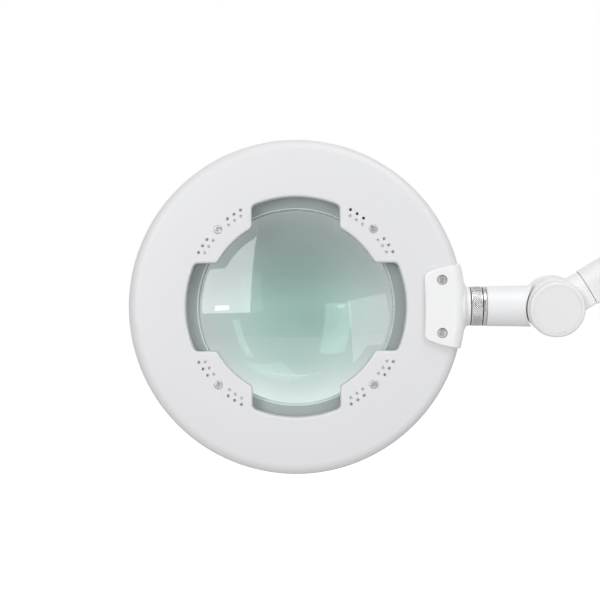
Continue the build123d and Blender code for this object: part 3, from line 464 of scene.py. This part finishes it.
def make_collar(material):
    """The lock collar with its diamond knurl, between two plain chamfered ends."""
    low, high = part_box("lock_collar")
    start = Vector((low[0], 0, (low[2] + high[2]) / 2))
    length = high[0] - low[0]
    outer = (high[2] - low[2]) / 2
    bore = 8.56 * MM
    plain = 0.75 * MM                     # width of the plain band at each end
    chamfer, chamfer_drop = 0.3 * MM, 0.35 * MM
    band_drop = 0.06 * MM                 # the plain bands lie this much lower than the points
    depth = 0.30 * MM
    diamonds, rows, sides_each = 56, 44, 8
    lead = 2 * math.pi * outer / diamonds
    fine = [plain + (length - 2 * plain) * n / rows for n in range(rows + 1)]
    stations = [0, 0, chamfer, plain] + fine + [length - plain, length - chamfer, length, length]

    def radius_at(step, station, angle):
        if step in (0, len(stations) - 1):
            return bore
        if step in (1, len(stations) - 2):
            return outer - chamfer_drop
        if not plain < station < length - plain or step in (2, 3):
            return outer - band_drop
        turns = angle / (2 * math.pi) * diamonds
        drift = station / lead
        diamond = min(ridge(turns + drift), ridge(turns - drift))
        return outer - depth * (1 - min(1.0, 1.7 * diamond))

    vertices, faces = shape_round(start, X_AXIS, Z_AXIS, stations, diamonds * sides_each, radius_at)
    heights = [1 - min(1.0, (outer - distance_from(v, start, X_AXIS)) / depth) for v in vertices]
    piece_from("knurled_collar", vertices, faces, material, "collar", "lock_collar", heights)


def distance_from(point, start, axis):
    """Distance of a point from the line through start along axis."""
    offset = point - start
    return (offset - axis * offset.dot(axis)).length


def make_threaded_screw(material):
    """The clamp screw: a trapezoidal thread above its drilled head, and a plain tip."""
    low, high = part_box("clamp_screw")
    radius, root, tip = 4.95 * MM, 4.15 * MM, 3.0 * MM
    head_height, tip_height = 15 * MM, 5.0 * MM
    head_top = low[2] + head_height
    thread_top = high[2] - tip_height
    shoulder = thread_top + 0.2 * MM
    pitch, steps_each = 1.5 * MM, 8
    steps = int((thread_top - head_top) / pitch * steps_each)
    fine = [head_top + (thread_top - head_top) * n / steps for n in range(steps + 1)]
    stations = [head_top - 2 * MM] + fine + [shoulder, shoulder, high[2], high[2]]

    def radius_at(step, station, angle):
        if step == len(stations) - 1:
            return 0.0001 * MM
        if step >= len(stations) - 3:
            return tip
        if step in (0, 1, len(stations) - 4):
            return root
        wave = ridge(station / pitch + angle / (2 * math.pi))
        return root + (radius - root) * min(1.0, max(0.0, 1.8 * wave - 0.4))

    vertices, faces = shape_round(Vector((0, 0, 0)), Z_AXIS, X_AXIS, stations, 48, radius_at)
    piece_from("clamp_screw_thread", vertices, faces, material, "screw", "clamp_screw")
    head = copy_below("clamp_screw", "clamp_screw_head", head_top + 0.5 * MM, material)
    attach(head, "screw")
    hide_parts("clamp_screw")


def copy_below(node, name, height, material):
    """A copy of the part of a CAD node's mesh that lies below a height."""
    mesh = NODES[node].data.copy()
    mesh.name = name
    work = bmesh.new()
    work.from_mesh(mesh)
    cut = bmesh.ops.bisect_plane(work, geom=work.verts[:] + work.edges[:] + work.faces[:],
                                 plane_co=(0, 0, height), plane_no=(0, 0, 1), clear_outer=True)
    rim = [item for item in cut["geom_cut"] if isinstance(item, bmesh.types.BMEdge)]
    bmesh.ops.edgenet_fill(work, edges=rim)
    work.to_mesh(mesh)
    work.free()
    mesh.materials.clear()
    mesh.materials.append(material)
    piece = bpy.data.objects.new(name, mesh)
    bpy.context.scene.collection.objects.link(piece)
    return piece


def sweep(points, radii, sides=7):
    """Vertices and faces of a wire along a list of points, with its radius at each."""
    vertices = []
    across = Vector((0.3, 1.0, 0.2))
    for n, (point, radius) in enumerate(zip(points, radii)):
        ahead = (points[min(n + 1, len(points) - 1)] - points[max(n - 1, 0)]).normalized()
        across = (across - ahead * across.dot(ahead)).normalized()
        third = ahead.cross(across)
        for side in range(sides):
            angle = 2 * math.pi * side / sides
            vertices.append(point + (across * math.cos(angle) + third * math.sin(angle)) * radius)
    faces = rings_to_faces(len(points), sides)
    faces.append(tuple(range(sides)))
    faces.append(tuple(range(len(vertices) - sides, len(vertices))))
    return vertices, faces


def make_coil_spring(name, node, anchor_pin, material):
    """A tension spring of close coils. Its small eye sits on its pin."""
    wire, eye_wire = 0.6 * MM, 0.3 * MM
    coil, small_eye, large_eye = 3.4 * MM, 1.35 * MM, 2.25 * MM
    coil_from, coil_to, pitch = 60 * MM, 220 * MM, 1.3 * MM
    anchor = middle(anchor_pin)
    tip = max((v.co for v in NODES[node].data.vertices), key=lambda spot: (spot - anchor).length).copy()
    tip.y = 0.0
    along = (anchor - tip).normalized()
    hook = tip + along * (small_eye + eye_wire)
    length = (anchor - hook).length
    upward = along.cross(Y_AXIS)

    def point(x, y, z):
        return hook + along * x + Y_AXIS * y + upward * z

    def eye(centre, radius, first, last):
        steps = 20
        turns = [math.radians(first + (last - first) * n / steps) for n in range(steps + 1)]
        return [point(centre + radius * math.cos(turn), 0, radius * math.sin(turn)) for turn in turns]

    line = eye(0, small_eye, 35, 350)
    radii = [eye_wire] * len(line)
    shank_step, shank_growth = 2 * MM, 0.05 * MM
    shank_steps = round(coil_from / shank_step) - 3
    line += [point((n + 2) * shank_step, 0, 0) for n in range(shank_steps)]
    radii += [min(wire, eye_wire + n * shank_growth) for n in range(shank_steps)]
    steps_each = 14
    count = int((coil_to - coil_from) / pitch * steps_each)
    for n in range(count + 1):
        angle = 2 * math.pi * n / steps_each
        reach = coil * min(1.0, 2 * n / steps_each, 2 * (count - n) / steps_each)
        x = coil_from + (coil_to - coil_from) * n / count
        line.append(point(x, reach * math.sin(angle), reach * math.cos(angle)))
    line.append(point(length - 6 * MM, 0, 0))
    line += eye(length, large_eye, 190, 505)
    radii += [wire] * (len(line) - len(radii))
    vertices, faces = sweep(line, radii)
    piece = piece_from(name, vertices, faces, material, None, node)
    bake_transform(piece)


def make_thumb_knob(material):
    """The retaining screw with a fluted grip."""
    low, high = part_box("retaining_screw")
    start = Vector((0, low[1], (low[2] + high[2]) / 2))
    length = high[1] - low[1]
    grip = 8.0 * MM
    outer = (high[2] - low[2]) / 2
    neck, neck_end = 4.0 * MM, 8.8 * MM
    shank, tip = 2.4 * MM, 1.7 * MM
    shank_end = length - 1.2 * MM
    domed = [(0.0, 0.0), (0.0, 0.55), (0.15 * MM, 0.80), (0.5 * MM, 0.92), (1.1 * MM, 1.0)]
    domed += [(grip - 1.1 * MM, 1.0), (grip - 0.4 * MM, 0.93), (grip, 0.8)]
    profile = [(station, outer * share) for station, share in domed]
    profile += [(grip, neck), (neck_end, neck), (neck_end, shank), (shank_end, shank)]
    profile += [(shank_end, tip), (length, tip), (length, 0.0)]
    flutes, flute_depth, sides_each = 9, 0.75 * MM, 16

    def radius_at(step, station, angle):
        base = profile[step][1]
        if base <= neck or station > grip:
            return base
        return base - flute_depth * max(0.0, math.cos(angle * flutes)) ** 2 * min(1.0, base / outer)

    stations = [station for station, radius in profile]
    vertices, faces = shape_round(start, Y_AXIS, Z_AXIS, stations, flutes * sides_each, radius_at)
    piece_from("fluted_retaining_screw", vertices, faces, material, "base",
               "retaining_screw")


# ---- floor and backdrop ---------------------------------------------------------------------
ROOM_WHITE = 0.6                 # brightness beside the white backdrop
ROOM_SHADE = 0.32                # brightness behind the camera
BACKDROP_SPREAD = (0.08, 0.32)   # sideways part of the directions where the backdrop fades out
FLOOR_RADIUS = 6.0
FLOOR_FADE = (0.8, 3.2)          # distances over which the floor turns into the backdrop


def make_stage():
    """A pale floor under the lamp that runs off into an even white."""
    material, tree, shader = new_material("floor")
    mottled = noise(tree, place(tree), 3, 3.0)
    pale = blend(tree, mottled, (0.66, 0.66, 0.66, 1), (0.69, 0.69, 0.69, 1))
    where = add(tree, "ShaderNodeTexCoord").outputs["Object"]
    away = add(tree, "ShaderNodeVectorMath", {0: where}, operation="LENGTH").outputs["Value"]
    values = {"Value": away, "From Min": FLOOR_FADE[0], "From Max": FLOOR_FADE[1]}
    far = add(tree, "ShaderNodeMapRange", values, interpolation_type="SMOOTHSTEP").outputs["Result"]
    from_head = add(tree, "ShaderNodeVectorMath", {0: where, 1: (LENS.x, 0, 0)}, operation="SUBTRACT")
    heading = add(tree, "ShaderNodeVectorMath", {0: from_head.outputs["Vector"]}, operation="NORMALIZE")
    sideways = add(tree, "ShaderNodeSeparateXYZ", {"Vector": heading.outputs["Vector"]}).outputs["X"]
    ahead = near_zero(tree, sideways, *BACKDROP_SPREAD)
    values = {"Value": ahead, "To Min": ROOM_WHITE, "To Max": 1.0}
    bright = add(tree, "ShaderNodeMapRange", values).outputs["Result"]
    backdrop = add(tree, "ShaderNodeMath", {0: far, 1: bright}, operation="MULTIPLY").outputs["Value"]
    seen = add(tree, "ShaderNodeLightPath").outputs["Is Camera Ray"]
    glow = add(tree, "ShaderNodeMath", {0: backdrop, 1: seen}, operation="MAXIMUM").outputs["Value"]
    drive(tree, shader, Base_Color=blend(tree, far, pale, (0, 0, 0, 1)), Emission_Strength=glow)
    shader.inputs["Roughness"].default_value = 0.9
    shader.inputs["Specular IOR Level"].default_value = 0.0
    shader.inputs["Emission Color"].default_value = (1.0, 1.0, 1.0, 1.0)
    below = add(tree, "ShaderNodeNewGeometry").outputs["Backfacing"]
    see_through = add(tree, "ShaderNodeBsdfTransparent").outputs[0]
    one_sided = add(tree, "ShaderNodeMixShader", {0: below, 1: shader.outputs[0], 2: see_through}).outputs[0]
    tree.links.new(one_sided, tree.nodes["Material Output"].inputs["Surface"])
    bpy.ops.mesh.primitive_circle_add(vertices=96, radius=FLOOR_RADIUS, fill_type="NGON",
                                      location=(0, 0, FLOOR_Z))
    floor = bpy.context.active_object
    floor.name = "floor"
    floor.data.materials.append(material)


# ---- light and camera -----------------------------------------------------------------------
FRAME_WIDTH = 0.3848             # what the picture spans at the head's face
CAMERA_DISTANCE = 1.05
AIM_RIGHT = 0.0026               # the picture's middle, from the head's axis
AIM_UP = 0.0045
CAMERA_ROLL = 0.25               # degrees, which lifts the stem's end in the picture


def make_camera():
    """The camera looks straight down on the head's face."""
    data = bpy.data.cameras.new("camera")
    data.sensor_width = 36.0
    data.lens = data.sensor_width * CAMERA_DISTANCE / FRAME_WIDTH
    camera = bpy.data.objects.new("camera", data)
    bpy.context.scene.collection.objects.link(camera)
    target = HEAD_FRONT + STEM * AIM_RIGHT + UP * AIM_UP
    facing = Matrix((STEM, UP, FACE)).transposed().to_4x4()
    roll = Matrix.Rotation(math.radians(-CAMERA_ROLL), 4, "Z")
    camera.matrix_world = Matrix.Translation(target + FACE * CAMERA_DISTANCE) @ facing @ roll
    bpy.context.scene.camera = camera


def soft_box(name, right, up, distance, width, height, power, lean=0.0):
    """An area light placed by its angles to the right of and above the line from head to camera."""
    data = bpy.data.lights.new(name, "AREA")
    data.shape = "RECTANGLE"
    data.size = width
    data.size_y = height
    data.energy = power
    light = bpy.data.objects.new(name, data)
    bpy.context.scene.collection.objects.link(light)
    a, e = math.radians(right), math.radians(up)
    direction = STEM * math.sin(a) * math.cos(e) + UP * math.sin(e) + FACE * math.cos(a) * math.cos(e)
    light.location = HEAD_FRONT + direction * distance
    light.rotation_mode = "QUATERNION"
    light.rotation_quaternion = Quaternion(direction, math.radians(lean)) @ direction.to_track_quat("Z", "Y")


def make_world():
    """A white studio: brightest straight behind the lamp, softer at the sides and behind the camera."""
    world = bpy.data.worlds.new("studio")
    bpy.context.scene.world = world
    world.use_nodes = True
    tree = world.node_tree
    where = add(tree, "ShaderNodeTexCoord").outputs["Generated"]
    direction = add(tree, "ShaderNodeSeparateXYZ", {"Vector": where}).outputs
    values = {"Value": direction["Y"], "From Min": -0.6, "From Max": 0.6,
              "To Min": ROOM_SHADE, "To Max": ROOM_WHITE}
    room = add(tree, "ShaderNodeMapRange", values).outputs["Result"]
    values = {"Value": direction["Y"], "From Min": 0.5, "From Max": 0.9, "To Max": 1.0 - ROOM_WHITE}
    behind = add(tree, "ShaderNodeMapRange", values).outputs["Result"]
    ahead = near_zero(tree, direction["X"], *BACKDROP_SPREAD)
    values = {0: ahead, 1: behind, 2: room}
    white = add(tree, "ShaderNodeMath", values, operation="MULTIPLY_ADD").outputs["Value"]
    seen = add(tree, "ShaderNodeLightPath").outputs["Is Camera Ray"]
    strength = add(tree, "ShaderNodeMath", {0: white, 1: seen}, operation="MAXIMUM")
    background = tree.nodes["Background"]
    background.inputs["Color"].default_value = (1.0, 1.0, 1.0, 1.0)
    tree.links.new(strength.outputs["Value"], background.inputs["Strength"])


def make_lights():
    """A large window to the left, and weaker panels that show as soft shapes in the lens."""
    soft_box("window", -29.5, 15, 1.5, 0.56, 0.95, 8.6, 5)
    soft_box("window_sill", -31, -0.5, 1.5, 0.16, 0.05, 0.2, 5)
    soft_box("low_panel", 32, -12, 1.5, 0.45, 0.85, 2.5, 6)
    soft_box("top", 35, 56, 1.5, 1.1, 0.7, 7.0)
    soft_box("tall_strip", 44, 22, 1.5, 0.2, 0.75, 2.0)
    soft_box("high_strip", 0, 55, 1.4, 0.9, 0.05, 0.8)


materials = make_materials()
dress_nodes(materials)
make_lens(materials["lens_glass"])
make_collar(knurled_metal("knurled_collar_metal", (0.82, 0.82, 0.83)))
make_threaded_screw(materials["screw_steel"])
make_thumb_knob(materials["knob_black"])
for arm, pin_body in (("lower", "post"), ("upper", "elbow")):
    make_coil_spring(f"{arm}_coil_spring", f"{arm}_spring", f"{arm}_anchor_pin",
                     materials["spring_steel"])
make_stage()
make_camera()
make_world()
make_lights()
bpy.context.scene.view_settings.view_transform = "Standard"
